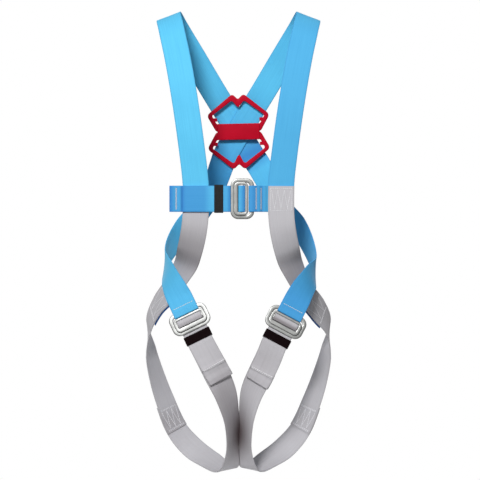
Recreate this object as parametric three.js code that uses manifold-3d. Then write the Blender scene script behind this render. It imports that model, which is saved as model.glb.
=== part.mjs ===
// Full body safety harness: blue and grey webbing, three two-piece buckles, a back plate and a back ring.
// Millimetres, +Z up, front towards -Y. The origin is midway between the shoulders that carry the straps.
import * as THREE from "three";
import { mergeVertices } from "three/addons/utils/BufferGeometryUtils.js";
import Module from "manifold-3d";

// Webbing
const WEB_WIDTH = 45;
const WEB_THICK = 1.8;
const GAP = 0.4;
const METAL_GAP = 0.3;
const LAYER = WEB_THICK + GAP;
const STEP = 13;
const BEND_STEPS = 3;
const CORNER_STEPS = 5;

// Depths of the layers at the chest and at the back, along Y, and how far out the chest joints are
const CHEST_Y = -94.8;
const CHEST_OUT = 73.5;
const PLATE_Y = 80;
const CROSSING_Y = 92.6;
const CROSSING_LAYER = 3;

// Buckle ring and adjuster, along the strap (t) from the end of the sewn loop, and outwards (n)
const RING = { width: 70, top: -9.6, bottom: 30.9, bar: 7.5, side: 7.2, thick: 3, corner: 13, inner: 6 };
const ADJUSTER = { width: 58, top: 0.7, bottom: 25.5, bar: 4.5, slot: 2.6, middle: 7.5, thick: 3, round: 8 };
const ADJUSTER_N = RING.thick + METAL_GAP;
const SLOT_WIDTH = WEB_WIDTH + 1;

// Layers of webbing behind a buckle ring, and over the adjuster's middle bar
const TAIL_N = -(METAL_GAP + WEB_THICK / 2);
const MAIN_N = TAIL_N - LAYER;
const OVER_N = ADJUSTER_N + ADJUSTER.thick + GAP + WEB_THICK / 2;
const UPPER_SLOT_T = ADJUSTER.top + ADJUSTER.bar + ADJUSTER.slot / 2;
const LOWER_SLOT_T = UPPER_SLOT_T + ADJUSTER.slot + ADJUSTER.middle;
const SLOT_BEND = 1.3;

// Sewn loop of webbing round the top bar of a ring
const LOOP_FRONT_N = RING.thick + GAP + WEB_THICK / 2;
const LOOP_BACK_N = -(GAP + WEB_THICK / 2);
const LOOP_TURN_T = RING.top + RING.bar + GAP + WEB_THICK / 2;
const LOOP_BEND = 1.6;
const LOOP_EASE = 4;
const LEG_LOOP = { strapT: -31, strapN: -2.6, endT: -27, endN: -3.8 };
const CHEST_LOOP = { strapT: -33, endT: -27, endDrop: 0.2, joinT: -77 };

// Keepers
const KEEPER = { length: 15.5, wall: 1.3, slack: 0.4, corner: 1.6 };

// Where the buckles sit. Turn is the slope of the bars in the front view, lean tips a buckle's top back.
const CHEST_BUCKLE = { x: 17.3, y: -102.6, z: -325 };
const LEG_BUCKLES = {
  left: { out: 88.6, y: -80, z: -523.6, turn: 26, lean: 10 },
  right: { out: 86.5, y: -80, z: -528.2, turn: 28, lean: 10 },
};
const CHEST_KEEPER_T = 43.5;
const LEG_KEEPER_T = 35.5;
const LEG_STRAIGHT_T = 55;

// Free tails: a leg tail runs down the leg strap, the chest tail runs past the left front strap
const LEG_TAIL = { length: 62, hem: 26, ramp: 20 };
const CHEST_TAIL = { end: 135, hem: 20.5 };

// The left chest strap's sewn end, and the step down to where it runs behind the front strap
const CHEST_SEWN = { end: 60.4, step: 62.6, foot: 66.4, stepBend: 1.2, turnBend: 2.6 };

// Back plate, half of its outline from the top notch to the waist
const PLATE = { thick: 4, z: -200, tilt: 1.3 };
const BRIDGE = { height: 29, width: 76, proud: 2, corner: 2 };
const PLATE_OUTLINE = [
  { x: 0, z: 58.5, round: 3 },
  { x: 10, z: 68.5, round: 5 },
  { x: 57, z: 30.5, round: 5 },
  { x: 40, z: 0, round: 8 },
];
const UPPER_WINDOW = [
  { x: 0, z: 43, round: 3 },
  { x: 11, z: 56.5, round: 4 },
  { x: 47.5, z: 29.5, round: 3 },
  { x: 39, z: 14.5, round: 3 },
];
const LOWER_WINDOW = [
  { x: 0, z: 38.5, round: 3 },
  { x: 9.5, z: 58, round: 4 },
  { x: 47.5, z: 29.5, round: 3 },
  { x: 39, z: 14.5, round: 3 },
];
const TOOTH = { x: 43, z: 22, width: 10, height: 6, corner: 1 };

// Back ring: a bent ring whose bar lies between the plate's bridge and the crossing straps
const BACK_RING = { bar: 7, halfWidth: 33, depth: 14, height: 58, lean: 32 };
const BACK_RING_BENDS = { bar: 6, leg: 8, bow: 25 };
const BACK_RING_Y = PLATE_Y + PLATE.thick + METAL_GAP + BACK_RING.bar / 2;

const SIDES = { left: -1, right: 1 };

// A blue strap below the crossing: how far out its next three rows are, its row behind the hip,
// how much further out and down it swings round the hip, and how far its lower edge turns in
const HIP_SWING = {
  left: {
    back: [31, 44, 66],
    behind: { out: 101.5, y: 53, z: -379, ao: 0.5, ay: -0.56, az: 0.9 },
    out: -2,
    down: 8,
    turn: 0,
  },
  right: {
    back: [37.5, 57, 77],
    behind: { out: 111, y: 35, z: -379, ao: 0.22, ay: -0.38, az: 0.9 },
    out: 4,
    down: 20,
    turn: 0.06,
  },
};

// Strap routes. out, y, z: middle of the webbing, with out measured sideways from the middle plane.
// ao, ay, az: direction across the webbing, from its lower edge to its upper edge.
// A shoulder strap starts on the other side, so its first rows have a negative out.
const shoulderRoute = (behind, swing) => [
  { out: -CHEST_OUT, y: CHEST_Y, z: -347, ao: 1, ay: 0, az: 0 },
  { out: -CHEST_OUT, y: CHEST_Y, z: -301, ao: 1, ay: 0, az: 0.04 },
  { out: -80.5, y: -95, z: -237, ao: 0.98, ay: -0.06, az: 0.16 },
  { out: -92.2, y: -90, z: -155, ao: 0.98, ay: 0, az: 0.18 },
  { out: -105.3, y: -72, z: -81, ao: 0.98, ay: 0, az: 0.2 },
  { out: -117, y: -44, z: -28, ao: 0.96, ay: 0, az: 0.26 },
  { out: -123, y: 0, z: -1, ao: 0.93, ay: 0, az: 0.36 },
  { out: -110, y: 42, z: -21, ao: 0.87, ay: 0, az: 0.49 },
  { out: -79, y: 67, z: -71, ao: 0.86, ay: 0, az: 0.51 },
  { out: -47, y: 83 + behind, z: -124, ao: 0.86, ay: 0, az: 0.51 },
  { out: -24, y: CROSSING_Y + behind, z: -161, ao: 0.86, ay: 0, az: 0.51 },
  { out: 0, y: CROSSING_Y + behind, z: -200, ao: 0.86, ay: 0, az: 0.51 },
  { out: 22, y: CROSSING_Y + behind, z: -238, ao: 0.86, ay: 0, az: 0.48 },
  { out: swing.back[0], y: 87 + behind, z: -262, ao: 0.84, ay: -0.18, az: 0.46 },
  { out: swing.back[1], y: 78, z: -299, ao: 0.74, ay: -0.4, az: 0.46 },
  { out: swing.back[2], y: 64, z: -339, ao: 0.52, ay: -0.42, az: 0.72 },
  swing.behind,
  { out: 131 + swing.out, y: -6, z: -423 - swing.down, ao: swing.turn, ay: -0.62, az: 0.78 },
  { out: 124 + swing.out / 2, y: -47.5, z: -452 - swing.down / 2, ao: -0.5, ay: -0.6, az: 0.6 },
  { out: 111, y: -66, z: -478 - swing.down / 4, ao: -0.8, ay: -0.35, az: 0.45 },
];

// The grey webbing where it passes the hip, inside the blue strap
const HIP_ROWS = {
  left: [
    { out: 115.5, y: -42, z: -477, ao: 0.62, ay: 0.68, az: 0.4 },
    { out: 143, y: -13, z: -510.5, ao: 0.4, ay: 0.85, az: 0.33 },
    { out: 160, y: 18, z: -550, ao: 0.18, ay: 0.83, az: 0.5 },
  ],
  right: [
    { out: 114, y: -45, z: -483, ao: 0.62, ay: 0.68, az: 0.4 },
    { out: 140.5, y: -14, z: -517.5, ao: 0.56, ay: 0.7, az: 0.45 },
    { out: 160, y: 18, z: -550, ao: 0.2, ay: 0.83, az: 0.5 },
  ],
};

// Where the legs meet the left strap lies a little in front of the right one
const CROTCH = { left: { out: -2, y: -4 }, right: { out: -0.3, y: 2.5 } };

// The grey route down the front, round the hip, behind the thigh, under the crotch and up to the leg buckle.
const thighRoute = (chestY, hipRows, crotch) => [
  { out: CHEST_OUT, y: chestY, z: -303, ao: 1, ay: 0, az: 0 },
  { out: CHEST_OUT, y: chestY, z: -350, ao: 1, ay: 0, az: 0.02 },
  { out: 77, y: -95.5, z: -382, ao: 0.98, ay: 0.05, az: 0.16 },
  { out: 84, y: -79, z: -413, ao: 0.94, ay: 0.14, az: 0.3 },
  { out: 93.5, y: -51, z: -441, ao: 0.8, ay: 0.43, az: 0.41 },
  ...hipRows,
  { out: 157, y: 45, z: -596, ao: -0.33, ay: 0.88, az: 0.34 },
  { out: 147, y: 62, z: -640, ao: -0.52, ay: 0.8, az: 0.3 },
  { out: 132.5, y: 70, z: -684, ao: -0.66, ay: 0.7, az: 0.26 },
  { out: 110, y: 69, z: -736, ao: -0.73, ay: 0.58, az: 0.36 },
  { out: 81.5, y: 61, z: -768.5, ao: -0.66, ay: 0.5, az: 0.56 },
  { out: 50.5, y: 40, z: -787.5, ao: -0.56, ay: 0.64, az: 0.46 },
  { out: 24.4 + crotch.out, y: 9 + crotch.y, z: -800, ao: -0.78, ay: 0.62, az: 0.1 },
  { out: 17.9 + crotch.out, y: -10 + crotch.y, z: -786, ao: -0.62, ay: 0.76, az: 0.16 },
  { out: 13.9 + crotch.out, y: -26 + crotch.y, z: -750, ao: -0.47, ay: 0.8, az: 0.36 },
  { out: 15.6 + crotch.out, y: -44 + crotch.y, z: -706, ao: -0.54, ay: 0.75, az: 0.38 },
  { out: 23.2, y: -61 + crotch.y, z: -663, ao: -0.76, ay: 0.5, az: 0.4 },
  { out: 40.5, y: -75, z: -623, ao: -0.88, ay: 0.17, az: 0.44 },
  { out: 53.5, y: -82, z: -595, ao: -0.89, ay: 0.05, az: 0.45 },
];
const SPLICE = { from: 10.1, to: 11 };
const HIP_TAB = { from: 5.35, to: 6.5, slide: -2 };

// Materials
const webbing = (colour) => new THREE.MeshStandardMaterial({ color: colour, roughness: 0.75, metalness: 0 });
const MATERIALS = {
  blue: webbing(0x4aa9e0),
  grey: webbing(0xaaa8ad),
  steel: new THREE.MeshStandardMaterial({ color: 0xb4b6b2, roughness: 0.35, metalness: 0.9 }),
  red: new THREE.MeshStandardMaterial({ color: 0xb81428, roughness: 0.45, metalness: 0 }),
  black: new THREE.MeshStandardMaterial({ color: 0x140a0c, roughness: 0.6, metalness: 0 }),
};

const harness = new THREE.Group();

function addPiece(name, geometry, material) {
  const mesh = new THREE.Mesh(geometry, material);
  mesh.name = name;
  harness.add(mesh);
  return mesh;
}

// Points with each inner corner replaced by an arc. A closed list has every corner rounded.
function roundCorners(points, radii, steps, closed = false) {
  const count = points.length;
  const rounded = [];
  points.forEach((corner, i) => {
    if (!closed && (i === 0 || i === count - 1)) {
      rounded.push(corner.clone());
      return;
    }
    const into = corner.clone().sub(points[(i + count - 1) % count]).normalize();
    const out = points[(i + 1) % count].clone().sub(corner).normalize();
    const angle = into.angleTo(out);
    const radius = Array.isArray(radii) ? radii[i] : radii;
    const start = corner.clone().addScaledVector(into, -radius * Math.tan(angle / 2));
    const inward = out.clone().addScaledVector(into, -into.dot(out)).normalize();
    for (let k = 0; k <= steps; k++) {
      const turn = (angle * k) / steps;
      const point = start.clone().addScaledVector(inward, radius * (1 - Math.cos(turn)));
      rounded.push(point.addScaledVector(into, radius * Math.sin(turn)));
    }
  });
  return rounded;
}

// A solid whose section is carried along a path of stations { p, a }: p the middle, a the direction across.
// Section points are [along a, along the normal], counter-clockwise seen from the path's end.
// A span is split along the same diagonal on both faces and on every layer of a route, so layers keep apart.
function loft(stations, section, closed = false) {
  const count = stations.length;
  const sides = section.length;
  const positions = [];
  stations.forEach(({ p, a }, i) => {
    const before = stations[closed ? (i + count - 1) % count : Math.max(i - 1, 0)].p;
    const after = stations[closed ? (i + 1) % count : Math.min(i + 1, count - 1)].p;
    const tangent = p.clone().sub(before).normalize().add(after.clone().sub(p).normalize()).normalize();
    const across = a.clone().addScaledVector(tangent, -a.dot(tangent)).normalize();
    const normal = tangent.clone().cross(across);
    for (const [u, v] of section) {
      const point = p.clone().addScaledVector(across, u).addScaledVector(normal, v);
      positions.push(point.x, point.y, point.z);
    }
  });
  const index = [];
  const rings = closed ? count : count - 1;
  for (let i = 0; i < rings; i++) {
    for (let j = 0; j < sides; j++) {
      const here = i * sides + j;
      const next = i * sides + ((j + 1) % sides);
      const ahead = ((i + 1) % count) * sides + j;
      const aheadNext = ((i + 1) % count) * sides + ((j + 1) % sides);
      const backwards = stations[i].at > stations[(i + 1) % count].at;
      if (backwards === j >= sides / 2) index.push(here, next, ahead, next, aheadNext, ahead);
      else index.push(here, next, aheadNext, here, aheadNext, ahead);
    }
  }
  const last = (count - 1) * sides;
  for (let j = 1; j < sides - 1 && !closed; j++) {
    index.push(0, j + 1, j, last, last + j, last + j + 1);
  }
  const geometry = new THREE.BufferGeometry();
  geometry.setAttribute("position", new THREE.Float32BufferAttribute(positions, 3));
  geometry.setIndex(index);
  return geometry;
}

const WEB_SECTION = [
  [-WEB_WIDTH / 2, -WEB_THICK / 2],
  [WEB_WIDTH / 2, -WEB_THICK / 2],
  [WEB_WIDTH / 2, WEB_THICK / 2],
  [-WEB_WIDTH / 2, WEB_THICK / 2],
];

// Stations along a route, with the row number (at), the forward tangent t and the outward normal n.
function layRoute(rows, side) {
  const middle = new THREE.CatmullRomCurve3(rows.map((r) => new THREE.Vector3(r.out * side, r.y, r.z)));
  const across = new THREE.CatmullRomCurve3(rows.map((r) => new THREE.Vector3(r.ao * side, r.ay, r.az)));
  const spans = rows.length - 1;
  const stations = [];
  for (let row = 0; row < spans; row++) {
    const pieces = Math.ceil(middle.points[row].distanceTo(middle.points[row + 1]) / STEP);
    for (let k = 0; k < pieces; k++) stations.push({ at: row + k / pieces });
  }
  stations.push({ at: spans });
  for (const station of stations) {
    const u = station.at / spans;
    station.p = middle.getPoint(u);
    station.t = middle.getTangent(u);
    station.a = across.getPoint(u);
    station.a.addScaledVector(station.t, -station.a.dot(station.t)).normalize();
    station.n = station.t.clone().cross(station.a).multiplyScalar(side);
  }
  return stations;
}

// A route's row at a given point
const routeRow = (p, a, side) => ({ out: p.x * side, y: p.y, z: p.z, ao: a.x * side, ay: a.y, az: a.z });

const between = (stations, { from = 0, to = Infinity }) =>
  stations.filter(({ at }) => at >= from && at <= to);

// A station moved off its route: lifted outwards, slid across, or moved ahead along it.
function moved(station, { lift = 0, slide = 0, ahead = 0 }) {
  const p = station.p.clone().addScaledVector(station.n, lift).addScaledVector(station.a, slide);
  return { ...station, p: p.addScaledVector(station.t, ahead) };
}

// A buckle's own frame: t down the strap from the end of the sewn loop, n outwards, w across.
function buckleFrame(origin, down, out) {
  const across = out.clone().cross(down);
  const at = (t, n, w = 0) =>
    origin.clone().addScaledVector(down, t).addScaledVector(out, n).addScaledVector(across, w);
  return { origin, down, out, across, at };
}

function legFrame(place) {
  const side = SIDES[place];
  const buckle = LEG_BUCKLES[place];
  const turn = THREE.MathUtils.degToRad(buckle.turn);
  const lean = THREE.MathUtils.degToRad(buckle.lean);
  const front = new THREE.Vector3(0, -1, 0);
  const level = new THREE.Vector3(-side * Math.sin(turn), 0, -Math.cos(turn));
  const down = level.clone().multiplyScalar(Math.cos(lean)).addScaledVector(front, Math.sin(lean));
  const out = front.clone().multiplyScalar(Math.cos(lean)).addScaledVector(level, -Math.sin(lean));
  const origin = new THREE.Vector3(buckle.out * side, buckle.y, buckle.z);
  return buckleFrame(origin, down, out);
}

const chestFrame = buckleFrame(
  new THREE.Vector3(CHEST_BUCKLE.x, CHEST_BUCKLE.y, CHEST_BUCKLE.z),
  new THREE.Vector3(-1, 0, 0),
  new THREE.Vector3(0, -1, 0),
);

// Stations along a bent route in a buckle's frame, given as [t, n] corners.
function bentRoute(frame, corners, radii, a) {
  const points = corners.map(([t, n]) => frame.at(t, n));
  return roundCorners(points, radii, BEND_STEPS).map((p) => ({ p, a }));
}

// From the main layer up through the adjuster's upper slot, over its bar and back out as the tail
const threading = (startT, endT) => [
  [startT, MAIN_N],
  [UPPER_SLOT_T, MAIN_N],
  [UPPER_SLOT_T, OVER_N],
  [LOWER_SLOT_T, OVER_N],
  [LOWER_SLOT_T, TAIL_N],
  [endT, TAIL_N],
];

// From the strap's outer side over the front of the ring's top bar, round it, and back to the sewn end
const sewnLoop = ({ strapT, strapN, endT, endN }) => [
  [strapT, strapN],
  [RING.top - 1, LOOP_FRONT_N],
  [LOOP_TURN_T, LOOP_FRONT_N],
  [LOOP_TURN_T, LOOP_BACK_N],
  [RING.top - 1, LOOP_BACK_N],
  [endT, endN],
];
const LOOP_RADII = [0, LOOP_EASE, LOOP_BEND, LOOP_BEND, LOOP_EASE, 0];

function roundedBox(width, height, radius, kind = THREE.Shape) {
  const outline = new kind();
  const x = width / 2 - radius;
  const y = height / 2 - radius;
  outline.absarc(x, y, radius, 0, Math.PI / 2);
  outline.absarc(-x, y, radius, Math.PI / 2, Math.PI);
  outline.absarc(-x, -y, radius, Math.PI, Math.PI * 1.5);
  outline.absarc(x, -y, radius, Math.PI * 1.5, Math.PI * 2);
  outline.closePath();
  return outline;
}

const shifted = (outline, dy) =>
  new THREE.Path(outline.getPoints(CORNER_STEPS).map((q) => new THREE.Vector2(q.x, q.y + dy)));

const extrude = (shape, depth) =>
  new THREE.ExtrudeGeometry(shape, { depth, bevelEnabled: false, curveSegments: CORNER_STEPS });

// Lays a flat piece in a buckle's frame: its y runs back up the strap and its extrusion runs outwards.
function layFlat(mesh, frame, t, n) {
  const up = frame.down.clone().negate();
  const basis = new THREE.Matrix4().makeBasis(up.clone().cross(frame.out), up, frame.out);
  mesh.quaternion.setFromRotationMatrix(basis);
  mesh.position.copy(frame.at(t, n));
}

function addBuckle(place, frame) {
  const ringHeight = RING.bottom - RING.top;
  const ring = roundedBox(RING.width, ringHeight, RING.corner);
  const windowWidth = RING.width - 2 * RING.side;
  ring.holes.push(roundedBox(windowWidth, ringHeight - 2 * RING.bar, RING.inner, THREE.Path));
  const ringMesh = addPiece(`buckle_ring_${place}`, extrude(ring, RING.thick), MATERIALS.steel.clone());
  layFlat(ringMesh, frame, (RING.top + RING.bottom) / 2, 0);

  const middleT = (ADJUSTER.top + ADJUSTER.bottom) / 2;
  const adjuster = roundedBox(ADJUSTER.width, ADJUSTER.bottom - ADJUSTER.top, ADJUSTER.round);
  for (const slotT of [UPPER_SLOT_T, LOWER_SLOT_T]) {
    const slot = roundedBox(SLOT_WIDTH, ADJUSTER.slot, ADJUSTER.slot / 2.2, THREE.Path);
    adjuster.holes.push(shifted(slot, middleT - slotT));
  }
  const adjusterMesh = addPiece(
    `buckle_adjuster_${place}`,
    extrude(adjuster, ADJUSTER.thick),
    MATERIALS.steel.clone(),
  );
  layFlat(adjusterMesh, frame, middleT, ADJUSTER_N);
}

// A black band round the main layer and the tail
function addKeeper(place, frame, t) {
  const inside = { width: WEB_WIDTH + 2 * KEEPER.slack, height: WEB_THICK + LAYER + 2 * KEEPER.slack };
  const band = roundedBox(inside.width + 2 * KEEPER.wall, inside.height + 2 * KEEPER.wall, KEEPER.corner);
  band.holes.push(roundedBox(inside.width, inside.height, KEEPER.slack, THREE.Path));
  const mesh = addPiece(`keeper_${place}`, extrude(band, KEEPER.length), MATERIALS.black.clone());
  const basis = new THREE.Matrix4().makeBasis(frame.out.clone().cross(frame.down), frame.out, frame.down);
  mesh.quaternion.setFromRotationMatrix(basis);
  mesh.position.copy(frame.at(t, (MAIN_N + TAIL_N) / 2));
}

// A shoulder strap is named for the shoulder it lies on, and ends at the leg buckle of the other side.
function addShoulderStrap(name, hip, behind) {
  const frame = legFrame(hip);
  const side = SIDES[hip];
  const rows = shoulderRoute(behind, HIP_SWING[hip]);
  const across = frame.across.clone().multiplyScalar(Math.sign(frame.across.x * rows.at(-1).ao * side));
  const [start, ...end] = bentRoute(frame, sewnLoop(LEG_LOOP), LOOP_RADII, across);
  rows.push(routeRow(start.p, across, side));
  addPiece(name, loft([...layRoute(rows, side), ...end], WEB_SECTION), MATERIALS.blue.clone());
}

// The free tail: back down the strap over the lifted stations, then folded under itself as a hem.
function legTail(stations) {
  const tail = [];
  let run = 0;
  for (let i = stations.length - 1; i >= 0 && run < LEG_TAIL.length; i--) {
    if (i < stations.length - 1) run += stations[i].p.distanceTo(stations[i + 1].p);
    const hemStart = LEG_TAIL.length - LEG_TAIL.hem;
    const rise = THREE.MathUtils.smoothstep(run, hemStart - LEG_TAIL.ramp, hemStart);
    tail.push({ station: stations[i], run, lift: LAYER * (1 + rise) });
  }
  const path = tail.map(({ station, lift }) => moved(station, { lift }));
  const last = tail.at(-1).station;
  for (const turn of [45, 90, 135].map(THREE.MathUtils.degToRad)) {
    const lift = LAYER * (1.5 + 0.5 * Math.cos(turn));
    path.push(moved(last, { lift, ahead: -(LAYER / 2) * Math.sin(turn) }));
  }
  const hem = tail.filter(({ run: r }) => r > LEG_TAIL.length - LEG_TAIL.hem).reverse();
  path.push(...hem.map(({ station }) => moved(station, { lift: LAYER })));
  return path;
}

function addLegWebbing(place) {
  const side = SIDES[place];
  const frame = legFrame(place);
  const chestLayers = side === SIDES.left ? 1 : 2;
  const rows = thighRoute(CHEST_Y - chestLayers * LAYER, HIP_ROWS[place], CROTCH[place]);
  const across = frame.across.clone().multiplyScalar(Math.sign(frame.across.z));
  rows.push(routeRow(frame.at(LEG_STRAIGHT_T, MAIN_N - LAYER), across, side));
  const route = layRoute(rows, side);
  const thigh = between(route, { to: SPLICE.to });
  addPiece(`thigh_strap_${place}`, loft(thigh, WEB_SECTION), MATERIALS.grey.clone());

  const tab = between(route, HIP_TAB).map((s) => moved(s, { lift: -LAYER, slide: HIP_TAB.slide }));
  addPiece(`hip_tab_${place}`, loft(tab, WEB_SECTION), MATERIALS.blue.clone());

  const leg = between(route, { from: SPLICE.from }).map((s) => moved(s, { lift: LAYER }));
  const threaded = bentRoute(frame, threading(LEG_STRAIGHT_T - 2, LEG_STRAIGHT_T - 2), SLOT_BEND, across);
  const path = [...leg, ...threaded, ...legTail(leg)];
  addPiece(`leg_strap_${place}`, loft(path, WEB_SECTION), MATERIALS.grey.clone());

  addBuckle(`${place}_leg`, frame);
  addKeeper(`${place}_leg`, frame, LEG_KEEPER_T);
}

function addChestStraps() {
  const across = new THREE.Vector3(0, 0, 1);
  const backN = CHEST_BUCKLE.y - CHEST_Y - LAYER;
  const bendT = CHEST_BUCKLE.x + CHEST_OUT + WEB_WIDTH / 2 + LAYER;
  const sewnN = MAIN_N - LAYER;
  const hemN = TAIL_N + LAYER;
  const left = [
    [CHEST_SEWN.end, sewnN],
    [CHEST_SEWN.step, sewnN],
    [CHEST_SEWN.foot, backN],
    [bendT, backN],
    ...threading(bendT, CHEST_TAIL.end),
    [CHEST_TAIL.end, hemN],
    [CHEST_TAIL.end - CHEST_TAIL.hem, hemN],
  ];
  const { stepBend, turnBend } = CHEST_SEWN;
  const slotBends = Array(4).fill(SLOT_BEND);
  const bends = [0, stepBend, stepBend, turnBend, turnBend, ...slotBends, LAYER / 2, LAYER / 2, 0];
  const leftPath = bentRoute(chestFrame, left, bends, across);
  addPiece("chest_strap_left", loft(leftPath, WEB_SECTION), MATERIALS.blue.clone());

  const jointN = CHEST_BUCKLE.y - CHEST_Y + LAYER;
  const loop = sewnLoop({ ...CHEST_LOOP, strapN: jointN, endN: jointN - CHEST_LOOP.endDrop });
  const radii = [0, LOOP_EASE, ...LOOP_RADII.slice(1)];
  const rightPath = bentRoute(chestFrame, [[CHEST_LOOP.joinT, jointN], ...loop], radii, across);
  addPiece("chest_strap_right", loft(rightPath, WEB_SECTION), MATERIALS.blue.clone());

  addBuckle("chest", chestFrame);
  addKeeper("chest", chestFrame, CHEST_KEEPER_T);
}

// Outline from half of its points: mirrored across the middle plane, with rounded corners.
function mirroredOutline(half, kind, flip = 1) {
  const right = half.filter((q) => q.x > 0);
  const left = right.map((q) => ({ ...q, x: -q.x }));
  const ends = half.filter((q) => q.x === 0);
  const loop = [ends[0], ...left, ...ends.slice(1), ...right.reverse()];
  const points = loop.map((q) => new THREE.Vector3(q.x, q.z * flip, 0));
  const rounded = roundCorners(points, loop.map((q) => q.round), 4, true);
  return new kind(rounded.map((q) => new THREE.Vector2(q.x, q.y)));
}

const wasm = await Module();
wasm.setup();

function toSolid(geometry) {
  const plain = geometry.clone();
  plain.deleteAttribute("normal");
  plain.deleteAttribute("uv");
  const merged = mergeVertices(plain, 1e-3);
  const triVerts = new Uint32Array(merged.index.array);
  const vertProperties = merged.attributes.position.array;
  return new wasm.Manifold(new wasm.Mesh({ numProp: 3, vertProperties, triVerts }));
}

function toGeometry(solid) {
  const mesh = solid.getMesh();
  const geometry = new THREE.BufferGeometry();
  geometry.setAttribute("position", new THREE.BufferAttribute(mesh.vertProperties, mesh.numProp));
  geometry.setIndex(new THREE.BufferAttribute(mesh.triVerts, 1));
  return geometry;
}

// The plate stands across Y. Its bridge is a thicker band, proud of the frame on the wearer's side.
function addBackPlate() {
  const lower = PLATE_OUTLINE.slice(0, -1).map((q) => ({ ...q, z: -q.z })).reverse();
  const outline = mirroredOutline([...PLATE_OUTLINE, ...lower], THREE.Shape);
  outline.holes.push(mirroredOutline(UPPER_WINDOW, THREE.Path));
  outline.holes.push(mirroredOutline(LOWER_WINDOW, THREE.Path, -1));
  const frame = extrude(outline, PLATE.thick);
  const tooth = toSolid(extrude(roundedBox(TOOTH.width, TOOTH.height, TOOTH.corner), PLATE.thick));
  const bridge = extrude(roundedBox(BRIDGE.width, BRIDGE.height, BRIDGE.corner), PLATE.thick + BRIDGE.proud);
  let solid = toSolid(frame).add(toSolid(bridge));
  for (const x of [-TOOTH.x, TOOTH.x]) {
    for (const z of [-TOOTH.z, TOOTH.z]) solid = solid.add(tooth.translate([x, z, 0]));
  }
  const mesh = addPiece("back_plate", toGeometry(solid), MATERIALS.red.clone());
  const tilt = THREE.MathUtils.degToRad(PLATE.tilt);
  const right = new THREE.Vector3(Math.cos(tilt), 0, Math.sin(tilt));
  const up = new THREE.Vector3(-Math.sin(tilt), 0, Math.cos(tilt));
  mesh.quaternion.setFromRotationMatrix(new THREE.Matrix4().makeBasis(right, up, right.clone().cross(up)));
  mesh.position.set(0, PLATE_Y + PLATE.thick, PLATE.z);
}

function addBackRing() {
  const { halfWidth, depth, height, bar } = BACK_RING;
  const lean = THREE.MathUtils.degToRad(BACK_RING.lean);
  const rear = BACK_RING_Y + depth;
  const bowY = rear + height * Math.sin(lean);
  const bowZ = PLATE.z + height * Math.cos(lean);
  const corners = [
    { x: -halfWidth, y: BACK_RING_Y, z: PLATE.z, bend: BACK_RING_BENDS.bar },
    { x: halfWidth, y: BACK_RING_Y, z: PLATE.z, bend: BACK_RING_BENDS.bar },
    { x: halfWidth, y: rear, z: PLATE.z, bend: BACK_RING_BENDS.leg },
    { x: halfWidth, y: bowY, z: bowZ, bend: BACK_RING_BENDS.bow },
    { x: -halfWidth, y: bowY, z: bowZ, bend: BACK_RING_BENDS.bow },
    { x: -halfWidth, y: rear, z: PLATE.z, bend: BACK_RING_BENDS.leg },
  ];
  const points = corners.map((q) => new THREE.Vector3(q.x, q.y, q.z));
  const path = roundCorners(points, corners.map((q) => q.bend), 6, true);
  const across = new THREE.Vector3(0, 0, 1);
  const stations = path.map((p, i) => {
    const before = path[(i + path.length - 1) % path.length];
    const after = path[(i + 1) % path.length];
    const tangent = after.clone().sub(p).normalize().add(p.clone().sub(before).normalize()).normalize();
    across.addScaledVector(tangent, -across.dot(tangent)).normalize();
    return { p, a: across.clone() };
  });
  const corner = bar / 2 / Math.cos(Math.PI / 8);
  const section = Array.from({ length: 8 }, (_, k) => {
    const angle = ((k + 0.5) * Math.PI) / 4;
    return [corner * Math.cos(angle), corner * Math.sin(angle)];
  });
  addPiece("back_ring", loft(stations, section, true), MATERIALS.steel.clone());
}

addShoulderStrap("shoulder_strap_left", "right", CROSSING_LAYER);
addShoulderStrap("shoulder_strap_right", "left", 0);
for (const place of Object.keys(SIDES)) addLegWebbing(place);
addChestStraps();
addBackPlate();
addBackRing();

export default harness;
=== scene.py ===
# Full body safety harness: sewn webbing, buckles, keepers, back plate and back ring, lit for the camera.
# Metres, +Z up, front towards -Y. Tables are written in millimetres and scaled once.
import bpy
import numpy as np
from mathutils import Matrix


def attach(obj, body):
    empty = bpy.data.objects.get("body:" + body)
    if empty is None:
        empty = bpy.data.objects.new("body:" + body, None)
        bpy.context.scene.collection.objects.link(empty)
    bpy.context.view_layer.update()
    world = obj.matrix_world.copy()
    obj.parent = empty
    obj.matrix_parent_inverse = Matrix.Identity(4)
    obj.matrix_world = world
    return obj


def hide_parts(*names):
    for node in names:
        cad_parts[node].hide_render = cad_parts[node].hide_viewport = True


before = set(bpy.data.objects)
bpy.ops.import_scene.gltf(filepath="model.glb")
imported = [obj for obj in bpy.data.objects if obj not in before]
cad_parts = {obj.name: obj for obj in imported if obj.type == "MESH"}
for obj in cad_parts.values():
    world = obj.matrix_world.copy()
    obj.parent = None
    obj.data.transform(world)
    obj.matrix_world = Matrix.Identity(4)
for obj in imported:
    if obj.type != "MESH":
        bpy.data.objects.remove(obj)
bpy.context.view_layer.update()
mm = 0.001
weld = 0.02 * mm  # stations closer than this count as one
print("frame loaded,", len(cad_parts), "nodes")


# each vector divided by its length
def unit(v):
    return v / np.linalg.norm(v, axis=-1, keepdims=True)


# the part of v at right angles to t, at length one
def squared(v, t):
    return unit(v - np.sum(v * t, axis=-1, keepdims=True) * t)


# distance along the points, from the first one
def runAlong(p):
    return np.concatenate([[0.0], np.cumsum(np.linalg.norm(np.diff(p, axis=0), axis=1))])


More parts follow.
